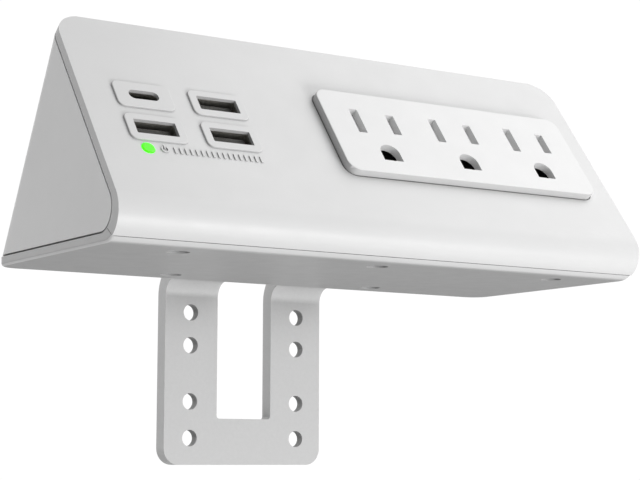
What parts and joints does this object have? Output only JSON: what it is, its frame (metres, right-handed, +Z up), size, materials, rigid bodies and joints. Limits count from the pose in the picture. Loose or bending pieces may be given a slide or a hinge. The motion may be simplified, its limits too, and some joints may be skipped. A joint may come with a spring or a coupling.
{
  "type": "desk power strip",
  "caption": "Wedge-shaped power strip that sits on a desk's edge, with shuttered mains outlets and USB ports on its sloping front and a perforated screw-on bracket behind.",
  "frame": {"origin": "centre of the flat underside that rests on the desk top", "axes": "+X along the body from the USB ports to the outlets, +Y to the back where the bracket is, +Z up"},
  "size_m": [0.1778, 0.0932, 0.1252],
  "materials": {
    "shell_plastic": "fine-textured white moulded shell",
    "faceplate_plastic": "smooth white moulding",
    "carrier_plastic": "plain light grey moulding",
    "shutter_plastic": "smooth light grey sliding plastic",
    "bracket_paint": "pale grey powder coat on steel plate",
    "screw_steel": "zinc-plated steel",
    "spring_steel": "drawn spring wire",
    "contact_brass": "stamped brass strip",
    "port_shell": "nickel-plated drawn shell",
    "port_tongue": "dark contact carrier",
    "circuit_board": "green solder mask",
    "led_package": "small clear-topped lamp",
    "indicator_green": "glowing green light pipe",
    "transformer_core": "ferrite core with taped winding",
    "capacitor_can": "sleeved can with bare top",
    "gland_plastic": "white nylon"
  },
  "bodies": {
    "housing": {"front_cover": "shell_plastic", "bottom_cover": "shell_plastic", "rear_housing": "shell_plastic", "cover_screws": "screw_steel", "outlet_faceplate": "faceplate_plastic", "outlet_base": "carrier_plastic", "outlet_back_cover": "carrier_plastic", "outlet_screws": "screw_steel", "neutral_busbar": "contact_brass", "live_busbar": "contact_brass", "ground_busbar": "contact_brass", "usb_board": "circuit_board", "board_screws": "screw_steel", "led": "led_package", "led_lens": "indicator_green", "power_board": "circuit_board", "transformer": "transformer_core", "capacitors": "capacitor_can", "cord_gland": "gland_plastic", "gland_nut": "gland_plastic", "bracket": "bracket_paint", "bracket_screws": "screw_steel", "usb_c_bezel": "faceplate_plastic", "usb_c_shell": "port_shell", "usb_c_tongue": "port_tongue", "usb_a_lower_left_bezel": "faceplate_plastic", "usb_a_lower_left_shell": "port_shell", "usb_a_lower_left_tongue": "port_tongue", "usb_a_upper_right_bezel": "faceplate_plastic", "usb_a_upper_right_shell": "port_shell", "usb_a_upper_right_tongue": "port_tongue", "usb_a_lower_right_bezel": "faceplate_plastic", "usb_a_lower_right_shell": "port_shell", "usb_a_lower_right_tongue": "port_tongue", "shutter_spring_left": "spring_steel", "shutter_spring_middle": "spring_steel", "shutter_spring_right": "spring_steel"},
    "shutter_left": {"shutter_left": "shutter_plastic"},
    "shutter_middle": {"shutter_middle": "shutter_plastic"},
    "shutter_right": {"shutter_right": "shutter_plastic"}
  },
  "joints": [
    {"name": "shutter_left_slide", "type": "slide", "parent": "housing", "child": "shutter_left", "axis": [1, 0, 0], "range_m": [0, 0.0034], "stiffness_N_per_m": 120, "springref_m": -0.002, "deforming": ["shutter_spring_left"]},
    {"name": "shutter_middle_slide", "type": "slide", "parent": "housing", "child": "shutter_middle", "axis": [1, 0, 0], "range_m": [0, 0.0034], "stiffness_N_per_m": 120, "springref_m": -0.002, "deforming": ["shutter_spring_middle"]},
    {"name": "shutter_right_slide", "type": "slide", "parent": "housing", "child": "shutter_right", "axis": [1, 0, 0], "range_m": [0, 0.0034], "stiffness_N_per_m": 120, "springref_m": -0.002, "deforming": ["shutter_spring_right"]}
  ]
}
